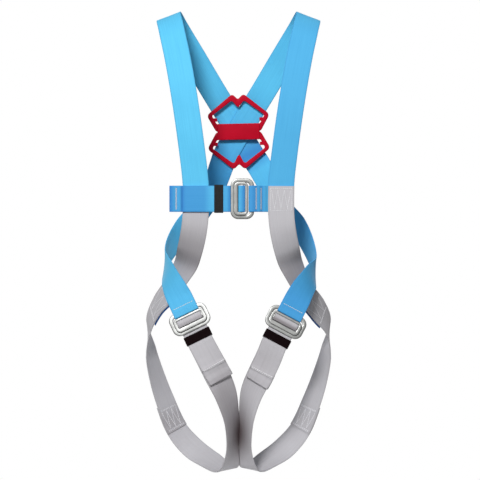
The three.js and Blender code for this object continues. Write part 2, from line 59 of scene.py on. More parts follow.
# Curve through rows: between two rows a cubic with end slopes
# (step before)/d0 - (both steps)/(d0 + d1) + (step)/d1, where d is the square root of each distance
def curveThrough(rows, at, shortest=1e-4):
    ends = np.vstack([2 * rows[0] - rows[1], rows, 2 * rows[-1] - rows[-2]])
    span = np.clip(np.floor(at).astype(int), 0, len(rows) - 2)
    w = (at - span)[:, None]
    p0, p1, p2, p3 = (ends[span + k] for k in range(4))
    d0 = np.sqrt(np.linalg.norm(p1 - p0, axis=1, keepdims=True))
    d1 = np.sqrt(np.linalg.norm(p2 - p1, axis=1, keepdims=True))
    d2 = np.sqrt(np.linalg.norm(p3 - p2, axis=1, keepdims=True))
    d1 = np.where(d1 < shortest, 1.0, d1)
    d0 = np.where(d0 < shortest, d1, d0)
    d2 = np.where(d2 < shortest, d1, d2)
    s1 = ((p1 - p0) / d0 - (p2 - p0) / (d0 + d1) + (p2 - p1) / d1) * d1
    s2 = ((p2 - p1) / d1 - (p3 - p1) / (d1 + d2) + (p3 - p2) / d2) * d1
    return p1 + w * s1 + w**2 * (3 * (p2 - p1) - 2 * s1 - s2) + w**3 * (2 * (p1 - p2) + s1 + s2)


# Arcs in place of corners: arc start + radius*sin(turn) ahead + radius*(1 - cos(turn)) to the inside
def roundCorners(points, radii, steps=8, closed=False):
    points = np.asarray(points, float)
    radii = np.broadcast_to(np.asarray(radii, float), (len(points),))
    inner = slice(None) if closed else slice(1, -1)
    corner, r = points[inner], radii[inner][:, None]
    into = unit(corner - np.roll(points, 1, axis=0)[inner])
    out = unit(np.roll(points, -1, axis=0)[inner] - corner)
    angle = np.arccos(np.clip(np.sum(into * out, axis=1), -1, 1))[:, None]
    start = corner - into * r * np.tan(angle / 2)
    inward = squared(out, into)
    turn = (angle * np.linspace(0, 1, steps + 1))[..., None]
    arcs = start[:, None] + into[:, None] * r[:, None] * np.sin(turn)
    arcs = arcs + inward[:, None] * r[:, None] * (1 - np.cos(turn))
    arcs = arcs.reshape(-1, points.shape[1])
    return arcs if closed else np.vstack([points[:1], arcs, points[-1:]])


# 0 below 0, 1 above 1, and x*x*(3 - 2*x) between
def eased(x):
    x = np.clip(x, 0, 1)
    return x**2 * (3 - 2 * x)


# Points added on straight stretches, so that no step is longer than the one asked for
def densify(p, step):
    run = runAlong(p)
    at = np.union1d(run, np.arange(0, run[-1], step))
    at = at[np.concatenate([[True], np.diff(at) > weld])]
    return np.column_stack([np.interp(at, run, p[:, k]) for k in range(p.shape[1])])


# Quads of a grid of points, counted along columns first; wrapped directions join back to the start
def gridFaces(rows, columns, wrapRows, wrapColumns):
    i = np.arange(rows if wrapRows else rows - 1)[:, None]
    j = np.arange(columns if wrapColumns else columns - 1)[None, :]
    nextI, nextJ = (i + 1) % rows, (j + 1) % columns
    corners = [i * columns + j, i * columns + nextJ, nextI * columns + nextJ, nextI * columns + j]
    return np.stack(np.broadcast_arrays(*corners), axis=-1).reshape(-1, 4)


# A mesh object at the origin, with an optional uv map and named point attributes
def makePiece(name, verts, faces, material, nodes=(), uv=None, uvName="weave", values=None, sharp=50):
    mesh = bpy.data.meshes.new(name)
    mesh.from_pydata(np.asarray(verts).reshape(-1, 3).tolist(), [], faces)
    if uv is not None:
        corner = np.empty(len(mesh.loops), dtype=np.int32)
        mesh.loops.foreach_get("vertex_index", corner)
        layer = mesh.uv_layers.new(name=uvName)
        layer.data.foreach_set("uv", np.asarray(uv, np.float32).reshape(-1, 2)[corner].ravel())
    for key, value in (values or {}).items():
        attribute = mesh.attributes.new(key, "FLOAT", "POINT")
        attribute.data.foreach_set("value", np.asarray(value, np.float32).ravel())
    mesh.polygons.foreach_set("use_smooth", np.ones(len(mesh.polygons), dtype=bool))
    mesh.set_sharp_from_angle(angle=np.radians(sharp))
    mesh.materials.append(material)
    mesh.update()
    piece = bpy.data.objects.new(name, mesh)
    bpy.context.scene.collection.objects.link(piece)
    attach(piece, "root")
    if nodes:
        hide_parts(*nodes)
    return piece


# A material with its shader, and short ways to add nodes to it
class Finish:
    def __init__(self, name):
        self.material = bpy.data.materials.new(name)
        self.material.use_nodes = True
        self.tree = self.material.node_tree
        self.shader = self.tree.nodes["Principled BSDF"]

    # a node's output is linked to the socket, a plain value is set on it
    def feed(self, socket, value):
        if isinstance(value, bpy.types.NodeSocket):
            self.tree.links.new(value, socket)
        else:
            socket.default_value = value

    def surface(self, name, value):
        self.feed(self.shader.inputs[name], value)

    def add(self, kind, inputs=None, **settings):
        node = self.tree.nodes.new(kind)
        for key, value in settings.items():
            setattr(node, key, value)
        for key, value in (inputs or {}).items():
            self.feed(node.inputs[key], value)
        return node

    def objectPoint(self):
        return self.add("ShaderNodeTexCoord").outputs["Object"]

    def attribute(self, name):
        return self.add("ShaderNodeAttribute", attribute_name=name).outputs["Fac"]

    def uvMap(self, name):
        return self.add("ShaderNodeUVMap", uv_map=name).outputs[0]

    def split(self, vector):
        return self.add("ShaderNodeSeparateXYZ", {0: vector}).outputs[:2]

    def stretched(self, vector, scale):
        return self.add("ShaderNodeMapping", {"Vector": vector, "Scale": scale}).outputs[0]

    def calc(self, operation, *terms):
        return self.add("ShaderNodeMath", dict(enumerate(terms)), operation=operation).outputs[0]

    # first*share + second*rest
    def mixed(self, first, share, second, rest):
        return self.calc("MULTIPLY_ADD", first, share, self.calc("MULTIPLY", second, rest))

    # sine that repeats after the length
    def wave(self, value, length):
        return self.calc("SINE", self.calc("MULTIPLY", value, 2 * np.pi / length))

    # height of two sets of yarns: 0.5 + 0.3*first + 0.2*second
    def woven(self, first, second):
        return self.calc("MULTIPLY_ADD", first, 0.3, self.calc("MULTIPLY_ADD", second, 0.2, 0.5))

    def spread(self, value, low, high, toLow, toHigh):
        inputs = {"Value": value, "From Min": low, "From Max": high, "To Min": toLow, "To Max": toHigh}
        return self.add("ShaderNodeMapRange", inputs, interpolation_type="SMOOTHSTEP").outputs["Result"]

    def noise(self, vector, scale, detail=3.0):
        inputs = {"Vector": vector, "Scale": scale, "Detail": detail, "Roughness": 0.55}
        return self.add("ShaderNodeTexNoise", inputs).outputs["Fac"]

    def ramp(self, value, stops):
        node = self.add("ShaderNodeValToRGB", {"Fac": value})
        elements = node.color_ramp.elements
        while len(elements) < len(stops):
            elements.new(0.5)
        for element, (position, colour) in zip(elements, stops):
            element.position = position
            element.color = (*colour, 1)
        return node.outputs["Color"]

    # from the first colour to the second, by amount
    def blend(self, amount, first, second):
        node = self.add("ShaderNodeMix", data_type="RGBA")
        sockets = [s for s in node.inputs if s.enabled]
        for socket, value in zip(sockets, (amount, first, (*second, 1))):
            self.feed(socket, value)
        return next(s for s in node.outputs if s.enabled)

    def bump(self, height, strength, distance):
        inputs = {"Height": height, "Strength": strength, "Distance": distance}
        self.surface("Normal", self.add("ShaderNodeBump", inputs).outputs[0])


# Repeats of the weave, where the selvedge starts and is full, and scales of the yarn streaks and slow fade
weave = {"twill": 2 * mm, "chevron": 5.6 * mm, "warp": 0.95 * mm, "bump": 0.25 * mm,
         "edgeFrom": 19.6 * mm, "edgeTo": 22.2 * mm, "streaks": (9, 620, 1), "fade": 11.0}
# Dark, middle and light yarns, the selvedge, the darkest colour of dye and painted shade, and the sheen's
# strength
webbingColours = {
    "blue": {"yarns": [(0.075, 0.42, 0.69), (0.1, 0.5, 0.78), (0.125, 0.57, 0.85)],
             "edge": (0.06, 0.34, 0.6), "deep": (0.033, 0.2, 0.54), "sheen": 0.03},
    "grey": {"yarns": [(0.4, 0.39, 0.41), (0.47, 0.46, 0.485), (0.54, 0.53, 0.555)],
             "edge": (0.33, 0.325, 0.34), "deep": (0.06, 0.035, 0.037), "sheen": 0.04},
    # a dark navy copy of the blue webbing for the hip tabs: painted shade
    "navy-painted-shade": {"yarns": [(0.02, 0.07, 0.22), (0.026, 0.09, 0.27), (0.032, 0.11, 0.32)],
             "edge": (0.016, 0.055, 0.18), "deep": (0.012, 0.04, 0.14), "sheen": 0.03},
}


# Woven polyester webbing. Height = herringbone twill (a sine of run + folded offset) plus warp yarns
# (a sine of offset). Colour follows the weave, yarn streaks along the run, a slow fade, and the dye
# attribute, which is dye and painted shade.
def webbingFinish(shade):
    tint = webbingColours[shade]
    f = Finish("webbing-" + shade)
    uv = f.uvMap("weave")
    along, across = f.split(uv)
    folded = f.calc("PINGPONG", across, weave["chevron"])
    height = f.woven(f.wave(f.calc("ADD", along, folded), weave["twill"]), f.wave(across, weave["warp"]))
    streak = f.noise(f.stretched(uv, weave["streaks"]), 1.0)
    fade = f.noise(f.objectPoint(), weave["fade"])
    tone = f.calc("MULTIPLY_ADD", fade, 0.3, f.mixed(streak, 0.45, height, 0.25))
    colour = f.ramp(tone, list(zip((0.25, 0.5, 0.75), tint["yarns"])))
    selvedge = f.spread(f.calc("ABSOLUTE", across), weave["edgeFrom"], weave["edgeTo"], 0, 0.55)
    colour = f.blend(selvedge, colour, tint["edge"])
    f.surface("Base Color", f.blend(f.attribute("dyeAndShade"), colour, tint["deep"]))
    f.surface("Roughness", f.spread(height, 0, 1, 0.78, 0.62))
    f.surface("Sheen Weight", tint["sheen"])
    f.surface("Sheen Roughness", 0.45)
    f.surface("Specular IOR Level", 0.15)
    f.bump(height, 0.45, weave["bump"])
    return f.material


yarn = {"twist": 1.1 * mm, "fuzz": 900.0, "bump": 0.12 * mm}


# Sewing thread: two plies twisted round each other, light where they stand up
def threadFinish(name, dark, light):
    f = Finish("thread-" + name)
    run, angle = f.split(f.uvMap("thread"))
    twist = f.calc("MULTIPLY_ADD", run, 2 * np.pi / yarn["twist"], angle)
    ply = f.calc("MULTIPLY_ADD", f.calc("SINE", twist), 0.5, 0.5)
    tone = f.mixed(f.noise(f.objectPoint(), yarn["fuzz"]), 0.5, ply, 0.5)
    f.surface("Base Color", f.ramp(tone, [(0.2, dark), (0.8, light)]))
    f.surface("Roughness", f.spread(ply, 0, 1, 0.7, 0.5))
    f.bump(ply, 0.5, yarn["bump"])
    return f.material


plating = {"cloud": 55.0, "rub": 420.0, "rubStretch": (1, 1, 7), "pits": 1500.0, "bump": 0.1 * mm}


# Zinc plated steel: cloudy plating, fine rub marks and brighter worn rims (rim attribute, 1 on the edges)
def steelFinish(name, dark, light, worn):
    f = Finish(name)
    place = f.objectPoint()
    cloud = f.noise(place, plating["cloud"], 4.0)
    rub = f.noise(f.stretched(place, plating["rubStretch"]), plating["rub"], 2.0)
    pits = f.noise(place, plating["pits"], 2.0)
    wear = f.calc("MULTIPLY", f.attribute("rim"), f.spread(cloud, 0.35, 0.65, 0.2, 0.8))
    tone = f.mixed(rub, 0.4, cloud, 0.6)
    f.surface("Base Color", f.blend(wear, f.ramp(tone, [(0.3, dark), (0.7, light)]), worn))
    f.surface("Roughness", f.calc("MULTIPLY_ADD", wear, -0.08, f.spread(tone, 0.3, 0.7, 0.52, 0.44)))
    f.surface("Metallic", 1.0)
    f.bump(f.mixed(pits, 0.5, rub, 0.5), 0.12, plating["bump"])
    return f.material


moulding = {"cloud": 24.0, "grain": 1300.0, "wear": 130.0, "bump": 0.08 * mm}


# Moulded plastic: even colour with faint flow clouds, a fine spark-grain and paler rubbed rims
def mouldedFinish(name, dark, light, worn):
    f = Finish(name)
    place = f.objectPoint()
    cloud = f.noise(place, moulding["cloud"], 2.0)
    grain = f.noise(place, moulding["grain"], 2.0)
    rubbing = f.noise(place, moulding["wear"])
    wear = f.calc("MULTIPLY", f.attribute("rim"), f.spread(rubbing, 0.42, 0.7, 0.0, 0.25))
    colour = f.ramp(f.mixed(grain, 0.3, cloud, 0.7), [(0.3, dark), (0.7, light)])
    f.surface("Base Color", f.blend(wear, colour, worn))
    f.surface("Roughness", f.calc("MULTIPLY_ADD", wear, -0.2, f.spread(grain, 0.3, 0.7, 0.5, 0.4)))
    f.surface("Specular IOR Level", 0.03)
    f.bump(grain, 0.2, moulding["bump"])
    return f.material


elastic = {"cord": 1.5 * mm, "rib": 0.8 * mm, "lint": 260.0, "bump": 0.2 * mm}


# Black elastic band: raised cords round the band (a sine of the width), fine cross ribs, a little lint
def elasticFinish(name, dark, light):
    f = Finish(name)
    girth, width = f.split(f.uvMap("band"))
    height = f.woven(f.wave(width, elastic["cord"]), f.wave(girth, elastic["rib"]))
    tone = f.mixed(f.noise(f.objectPoint(), elastic["lint"], 4.0), 0.5, height, 0.5)
    f.surface("Base Color", f.ramp(tone, [(0.3, dark), (0.75, light)]))
    f.surface("Roughness", f.spread(height, 0, 1, 0.75, 0.5))
    f.surface("Specular IOR Level", 0.015)
    f.bump(height, 0.5, elastic["bump"])
    return f.material


blueWebbing, greyWebbing, paintedShadeWebbing = (webbingFinish(shade) for shade in webbingColours)
creamThread = threadFinish("cream", (0.62, 0.57, 0.47), (0.9, 0.86, 0.76))
greyThread = threadFinish("grey", (0.55, 0.55, 0.58), (0.84, 0.84, 0.86))
dullThread = threadFinish("dull", (0.38, 0.39, 0.42), (0.64, 0.65, 0.68))
whiteThread = threadFinish("white", (0.78, 0.78, 0.81), (0.95, 0.95, 0.96))
platedSteel = steelFinish("plated-steel", (0.21, 0.214, 0.21), (0.3, 0.305, 0.296), (0.55, 0.55, 0.54))
redMoulded = mouldedFinish("red-moulded", (0.39, 0.002, 0.014), (0.5, 0.003, 0.02), (0.6, 0.03, 0.05))
blackElastic = elasticFinish("black-elastic", (0.003, 0.0012, 0.0016), (0.011, 0.005, 0.006))
# a paler copy of the black elastic for the chest keeper: painted light
paintedLightElastic = elasticFinish("elastic-painted-light", (0.014, 0.0145, 0.015), (0.034, 0.035, 0.036))
print("finishes made")


# Webbing: width, thickness, the distance between layers that lie on each other, and how finely it is meshed
web = {"width": 45 * mm, "thick": 1.8 * mm, "layer": 2.2 * mm, "step": 4 * mm, "flat": 13, "edge": 5}


# Stations on a route: rows are out, y, z of the middle and the direction across; n points outwards
def layRoute(rows, side, nudge=1e-3):
    mirror = np.array([side, 1, 1])
    middle, across = rows[:, :3] * mirror, rows[:, 3:] * mirror
    pieces = np.ceil(np.linalg.norm(np.diff(middle, axis=0), axis=1) / web["step"]).astype(int)
    at = np.concatenate([i + np.arange(k) / k for i, k in enumerate(pieces)] + [[len(pieces)]])
    p = curveThrough(middle, at)
    ahead, behind = np.minimum(at + nudge, len(pieces)), np.maximum(at - nudge, 0)
    t = unit(curveThrough(middle, ahead) - curveThrough(middle, behind))
    a = squared(curveThrough(across, at), t)
    return {"at": at, "p": p, "t": t, "a": a, "n": np.cross(t, a) * side}


# part of a route between two row numbers, lifted outwards and slid across
def routePart(route, low, high, lift=0.0, slide=0.0):
    mask = (route["at"] >= low) & (route["at"] <= high)
    part = {key: value[mask] for key, value in route.items()}
    part["p"] = part["p"] + part["n"] * lift + part["a"] * slide
    return part


# p, t, a and n of a strip at some distances along it, straight between its stations
def atRuns(strip, stations, run):
    return {key: np.column_stack([np.interp(run, stations, line) for line in strip[key].T]) for key in "ptan"}


# Section of webbing as (across, up): two flats joined by half-round selvedges
def webSection():
    r = web["thick"] / 2
    reach = web["width"] / 2 - r
    w = np.linspace(-reach, reach, web["flat"])
    bend = np.linspace(-np.pi / 2, np.pi / 2, web["edge"] + 2)[1:-1]
    right = np.column_stack([reach + r * np.cos(bend), r * np.sin(bend)])
    lower = np.column_stack([w, np.full(len(w), -r)])
    upper = np.column_stack([w[::-1], np.full(len(w), r)])
    return np.vstack([lower, right, upper, -right])


# A strip: the section carried along the path, point = middle + across*a + up*n, with n = t x a.
# The dye attribute holds dye and painted shade: one number, or a function of the points and of the run as a
# share of the length
def makeStrip(name, path, across, material, node, dyeAndShade=0.0):
    far = np.concatenate([[True], np.linalg.norm(np.diff(path, axis=0), axis=1) > weld])
    path, across = path[far], across[far]
    step = unit(np.diff(path, axis=0))
    t = unit(np.vstack([step[:1], step[1:] + step[:-1], step[-1:]]))
    a = squared(across, t)
    n = np.cross(t, a)
    run = runAlong(path)
    section = webSection()
    verts = path[:, None] + a[:, None] * section[:, :1] + n[:, None] * section[:, 1:]
    count, around = verts.shape[:2]
    faces = gridFaces(count, around, False, True).tolist()
    faces += [list(range(around))[::-1], list(range((count - 1) * around, count * around))]
    uv = np.stack(np.broadcast_arrays(run[:, None], section[None, :, 0]), axis=-1)
    tint = dyeAndShade(verts, run[:, None] / run[-1]) if callable(dyeAndShade) else dyeAndShade
    tint = np.broadcast_to(tint, (count, around))
    makePiece(name, verts, faces, material, (node,), uv, values={"dyeAndShade": tint})
    return {"p": path, "t": t, "a": a, "n": n, "run": run}


# Dye and painted shade from rows of [place, depth], straight between the rows. The place is the share of the
# length, or with a buckle the distance down from it in millimetres
def shadeAndTintAlong(rows, buckle=None):
    def depth(verts, share):
        at = share if buckle is None else (verts - buckle["origin"]) @ buckle["down"] / mm
        return np.interp(at, *np.transpose(rows))
    return depth


# rows of distances along three directions, from an origin
def onto(origin, directions, rows):
    return origin + np.asarray(rows, float) @ np.array(directions)


# A buckle's own frame: t down the strap, n outwards, w across; place() turns rows of [t, n, w] into points
def buckleFrame(origin, down, out):
    return {"origin": origin, "down": down, "out": out, "across": np.cross(out, down)}


def place(buckle, rows):
    return onto(buckle["origin"], [buckle["down"], buckle["out"], buckle["across"]], rows)


sides = {"left": -1, "right": 1}
legBuckles = {
    "left": {"out": 88.6 * mm, "y": -80 * mm, "z": -523.6 * mm, "turn": 26, "lean": 10},
    "right": {"out": 86.5 * mm, "y": -80 * mm, "z": -528.2 * mm, "turn": 28, "lean": 10},
}


# turn slopes the bars in the front view, lean tips the buckle's top back
def legBuckle(hip):
    spot = legBuckles[hip]
    turn, lean = np.radians(spot["turn"]), np.radians(spot["lean"])
    front = np.array([0.0, -1, 0])
    level = np.array([-sides[hip] * np.sin(turn), 0, -np.cos(turn)])
    down = level * np.cos(lean) + front * np.sin(lean)
    out = front * np.cos(lean) - level * np.sin(lean)
    return buckleFrame(np.array([spot["out"] * sides[hip], spot["y"], spot["z"]]), down, out)


chestBuckle = buckleFrame(np.array([17.3, -102.6, -325]) * mm, np.array([-1.0, 0, 0]), np.array([0, -1.0, 0]))
buckles = {"chest": chestBuckle, "left_leg": legBuckle("left"), "right_leg": legBuckle("right")}

# Webbing through an adjuster: the layers behind it, the height over its bar and the bends, in t and n.
# crown is a swelling over the bar, written as a ripple
threading = {"main": -3.4, "tail": -1.2, "over": 7.6, "upper": 6.5, "lower": 16.6, "bend": 1.3,
             "crown": [11.5, 1.3, 3.4], "step": 1.5 * mm}
overBar = [[threading["upper"], threading["main"]], [threading["upper"], threading["over"]],
           [threading["lower"], threading["over"]], [threading["lower"], threading["tail"]]]
barRadii = [threading["bend"]] * len(overBar)

# Webbing round the top bar of a ring, from its front to its back
loop = {"front": 4.3, "back": -1.3, "ease": -10.6, "turn": -0.8, "radii": [4, 1.6, 1.6, 4]}
roundRing = [[loop["ease"], loop["front"]], [loop["turn"], loop["front"]],
             [loop["turn"], loop["back"]], [loop["ease"], loop["back"]]]


# Corners in t and n (millimetres), rounded and put in a buckle's frame. Each ripple [t, height, width] adds
# height*exp(-((t - its t)/width)^2) to n
def bentPath(buckle, corners, radii, step=web["step"], ripples=()):
    flat = roundCorners(np.asarray(corners, float) * mm, np.asarray(radii, float) * mm)
    flat = densify(flat, step)
    for at, height, width in ripples:
        flat[:, 1] += height * mm * np.exp(-((flat[:, 0] / mm - at) / width) ** 2)
    return place(buckle, np.column_stack([flat, np.zeros(len(flat))]))


# Shoulder straps: out, y, z and the direction across, from the chest, over the shoulder to the other hip
opposite = {"left": "right", "right": "left"}
shoulder = {
    "rows": np.array([
        [-73.5, -94.8, -347, 1, 0, 0],
        [-73.5, -94.8, -301, 1, 0, 0.04],
        [-80.5, -95, -237, 0.98, -0.06, 0.16],
        [-92.2, -90, -155, 0.98, 0, 0.18],
        [-105.3, -72, -81, 0.98, 0, 0.2],
        [-117, -44, -28, 0.96, 0, 0.26],
        [-123, 0, -1, 0.93, 0, 0.36],
        [-110, 42, -21, 0.87, 0, 0.49],
        [-79, 67, -71, 0.86, 0, 0.51],
        [-47, 83, -124, 0.86, 0, 0.51],
        [-24, 92.6, -161, 0.86, 0, 0.51],
        [0, 92.6, -200, 0.86, 0, 0.51],
        [22, 92.6, -238, 0.86, 0, 0.48],
        [0, 87, -262, 0.84, -0.18, 0.46],  # out of these three from the swing below
        [0, 78, -299, 0.74, -0.4, 0.46],
        [0, 64, -339, 0.52, -0.42, 0.72],
        [0, 0, 0, 0, 0, 0],  # from the swing below
        [131, -6, -423, 0, -0.62, 0.78],
        [124, -47.5, -452, -0.5, -0.6, 0.6],
        [111, -66, -478, -0.8, -0.35, 0.45],
    ]),
    "crossing": slice(9, 14),
    "behind": {"left": 3.0, "right": 0.0},  # the left strap passes behind the right one
    "swingRows": {"back": slice(13, 16), "behind": 16, "hip": slice(17, 20)},
    "swing": {  # by the hip that the strap goes to; out and down fade over the three rows at the hip
        "left": {"back": [31, 44, 66], "behind": [101.5, 53, -379, 0.5, -0.56, 0.9],
                 "out": -2, "down": 8, "turn": 0.0},
        "right": {"back": [37.5, 57, 77], "behind": [111, 35, -379, 0.22, -0.38, 0.9],
                  "out": 4, "down": 20, "turn": 0.06},
        "outShare": np.array([1, 0.5, 0]), "downShare": np.array([1, 0.5, 0.25]),
    },
    "sewn": {"strapT": -31, "strapN": -2.6, "endT": -27, "endN": -3.8},
    # depth of dye along each strap, by the hip it goes to: mostly painted shade, such as the back plate's
    # shadow in its lower window and the darker low back and hip loops
    "dyeAndShade": {
        "left": [[0, 0.35], [0.3, 0.35], [0.38, 0.05], [0.5, 0], [0.58, 0.2], [0.64, 0.5], [0.7, 0.5],
                 [0.78, 0.15], [0.87, 0], [0.93, 0.25], [1, 0.25]],
        "right": [[0, 0], [0.5, 0], [0.59, 0.15], [0.625, 0.85], [0.655, 0.1], [0.72, 0.3], [0.78, 0.6],
                  [0.85, 0.45], [0.9, 0.45], [0.94, 0.65], [1, 0.6]],
    },
}


# the rows with this hip's swing, then round the ring of the leg buckle to a sewn end
def shoulderStrip(name):
    hip = opposite[name]
    buckle, side = buckles[hip + "_leg"], sides[hip]
    mirror = np.array([side, 1, 1])
    rows, where = shoulder["rows"].copy(), shoulder["swingRows"]
    swing, tip = shoulder["swing"][hip], shoulder["sewn"]
    rows[shoulder["crossing"], 1] += shoulder["behind"][name]
    rows[where["back"], 0] = swing["back"]
    rows[where["behind"]] = swing["behind"]
    rows[where["hip"], 0] += swing["out"] * shoulder["swing"]["outShare"]
    rows[where["hip"], 2] -= swing["down"] * shoulder["swing"]["downShare"]
    rows[where["hip"].start, 3] = swing["turn"]
    rows[:, :3] *= mm
    corners = [[tip["strapT"], tip["strapN"]], *roundRing, [tip["endT"], tip["endN"]]]
    end = bentPath(buckle, corners, [0, *loop["radii"], 0])
    across = buckle["across"] * np.sign(buckle["across"] @ (rows[-1, 3:] * mirror))
    rows = np.vstack([rows, np.concatenate([end[0] * mirror, across * mirror])])
    route = layRoute(rows, side)
    path = np.vstack([route["p"], end[1:]])
    acrossAll = np.vstack([route["a"], np.tile(across, (len(end) - 1, 1))])
    return makeStrip("shoulder-webbing-" + name, path, acrossAll, blueWebbing,
                     "shoulder_strap_" + name, shadeAndTintAlong(shoulder["dyeAndShade"][hip]))


strips = {"shoulder" + name: shoulderStrip(name) for name in sides}
print("shoulder webbing made")

# Thigh and leg webbing on one route: chest, hip, behind the thigh, crotch, up to the leg buckle
thigh = {
    "rows": np.array([
        [73.5, 0, -303, 1, 0, 0],  # y of these two from chestY below
        [73.5, 0, -350, 1, 0, 0.02],
        [77, -95.5, -382, 0.98, 0.05, 0.16],
        [84, -79, -413, 0.94, 0.14, 0.3],
        [93.5, -51, -441, 0.8, 0.43, 0.41],
        [0, 0, 0, 0, 0, 0],  # these three from hip below
        [0, 0, 0, 0, 0, 0],
        [0, 0, 0, 0, 0, 0],
        [157, 45, -596, -0.33, 0.88, 0.34],
        [147, 62, -640, -0.52, 0.8, 0.3],
        [132.5, 70, -684, -0.66, 0.7, 0.26],
        [110, 69, -736, -0.73, 0.58, 0.36],
        [81.5, 61, -768.5, -0.66, 0.5, 0.56],
        [50.5, 40, -787.5, -0.56, 0.64, 0.46],
        [24.4, 9, -800, -0.78, 0.62, 0.1],
        [17.9, -10, -786, -0.62, 0.76, 0.16],
        [13.9, -26, -750, -0.47, 0.8, 0.36],
        [15.6, -44, -706, -0.54, 0.75, 0.38],
        [23.2, -61, -663, -0.76, 0.5, 0.4],
        [40.5, -75, -623, -0.88, 0.17, 0.44],
        [53.5, -82, -595, -0.89, 0.05, 0.45],
    ]),
    "chestRows": slice(0, 2), "hipRows": slice(5, 8), "crotchOut": slice(14, 18), "crotchY": slice(14, 19),
    "chestY": {"left": -97.0, "right": -99.2},
    "hip": {
        "left": [[115.5, -42, -477, 0.62, 0.68, 0.4], [143, -13, -510.5, 0.4, 0.85, 0.33],
                 [160, 18, -550, 0.18, 0.83, 0.5]],
        "right": [[114, -45, -483, 0.62, 0.68, 0.4], [140.5, -14, -517.5, 0.56, 0.7, 0.45],
                  [160, 18, -550, 0.2, 0.83, 0.5]],
    },
    "crotch": {"left": {"out": -2, "y": -4}, "right": {"out": -0.3, "y": 2.5}},
    "splice": (10.1, 11.0),  # row numbers where the leg webbing starts and the thigh webbing ends
    "tab": (5.35, 6.5),
    "tabSlide": -2 * mm,
    "straightT": 55, "lap": 2,
    # painted shade along the thigh webbing, as shares of its length: a darker band at the hip and a little
    # near its end
    "dyeAndShade": {
        "left": [[0.1, 0], [0.14, 0.15], [0.2, 0.3], [0.26, 0.42], [0.31, 0.26], [0.38, 0.16], [0.45, 0],
                 [0.9, 0], [0.95, 0.27]],
        "right": [[0.22, 0], [0.26, 0.15], [0.32, 0.38], [0.4, 0.4], [0.46, 0], [0.9, 0], [0.95, 0.1]],
    },
}
legTail = {
    "left": {"length": 70 * mm, "hem": 29.5 * mm, "twist": 1.5, "slide": 2 * mm},
    "right": {"length": 69 * mm, "hem": 22 * mm, "twist": 0, "slide": -2.5 * mm},
    "step": 0.8 * mm, "ramp": 20 * mm,
    "ridgeAt": 2 * mm, "ridges": [[0.9 * mm, 1.3 * mm], [2.2 * mm, 4 * mm]],  # heights and widths
    "roll": 2.6 * mm, "rollLong": 11 * mm, "rollEnd": 5 * mm, "foldSteps": 9,
}
# painted shade patches: dark where the legs meet, in the crease between them, on the inside of the left leg
# and on the right tail
shadePatches = [
    {"x": 1.2 * mm, "z": -735 * mm, "wide": 18 * mm, "tall": 46 * mm, "most": 0.8},
    {"x": 1.2 * mm, "z": -737 * mm, "wide": 4 * mm, "tall": 24 * mm, "most": 0.85},
    {"x": -27 * mm, "z": -670 * mm, "wide": 30 * mm, "tall": 65 * mm, "most": 0.36},
    {"x": 43 * mm, "z": -608 * mm, "wide": 35 * mm, "tall": 50 * mm, "most": 0.15},
]
# painted shade on the webbing over each adjuster's bar, stronger on the right
barShade = {"t": 15.5 * mm, "long": 4 * mm, "fromN": 4 * mm, "most": {"left": 0.25, "right": 0.55}}


# Painted shade = 1 - the product over the patches of 1 - most*exp(-x^2 - z^2), with x and z from each patch's
# middle in its own sizes. Painted shade at the adjuster's bar = most*exp(-((t - its t)/long)^2) on the
# webbing over the bar
def paintedLegShade(verts, hip):
    unshaded = np.ones(verts.shape[:2])
    for patch in shadePatches:
        x, z = (verts[..., 0] - patch["x"]) / patch["wide"], (verts[..., 2] - patch["z"]) / patch["tall"]
        unshaded = unshaded * (1 - patch["most"] * np.exp(-x**2 - z**2))
    buckle = buckles[hip + "_leg"]
    t, n = ((verts - buckle["origin"]) @ buckle[key] for key in ("down", "out"))
    barDarkening = barShade["most"][hip] * np.exp(-((t - barShade["t"]) / barShade["long"]) ** 2)
    near = np.linalg.norm(verts - buckle["origin"], axis=-1) < web["width"]
    return 1 - unshaded * (1 - np.where(near & (n > barShade["fromN"]), barDarkening, 0))


# The free tail, back down over the leg webbing: it turns about its outer edge and slides aside on its way.
# Lift = layer*(1 + an eased ramp to the hem) + ridges at the hem's stitches + an eased roll at its end.
# The end is folded under in a half circle. Gives the path, the directions across and the hem's place
def tailPath(lower, tail):
    layer = web["layer"]
    back = {key: lower[key][::-1] for key in "ptan"}
    run = np.append(np.arange(0, tail["length"], legTail["step"]), tail["length"])
    back = atRuns(back, runAlong(back["p"]), run)
    ease = eased(run / tail["length"])[:, None]
    twist = np.radians(tail["twist"]) * ease
    a = back["a"] * np.cos(twist) + back["n"] * np.sin(twist)
    n = back["n"] * np.cos(twist) - back["a"] * np.sin(twist)
    p = back["p"] + (a - back["a"]) * web["width"] / 2 + a * tail["slide"] * ease
    past = run - (tail["length"] - tail["hem"])
    lift = layer * (1 + eased(past / legTail["ramp"] + 1))
    for height, width in legTail["ridges"]:
        lift = lift + height * np.exp(-((past - legTail["ridgeAt"]) / width) ** 2)
    lift = lift + legTail["roll"] * eased((past - tail["hem"] + legTail["rollEnd"]) / legTail["rollLong"] + 1)
    down = p + n * lift[:, None]
    turn = np.pi * np.arange(1, legTail["foldSteps"])[:, None] / legTail["foldSteps"]
    bend = (lift[-1] - layer) / 2
    fold = p[-1] + n[-1] * (layer + bend * (1 + np.cos(turn))) - back["t"][-1] * bend * np.sin(turn)
    under = (p + n * layer)[past > 0][::-1]
    across = np.vstack([a, np.tile(a[-1], (len(fold), 1)), a[past > 0][::-1]])
    return np.vstack([down, fold, under]), across, down[np.argmax(past > legTail["ridgeAt"])]


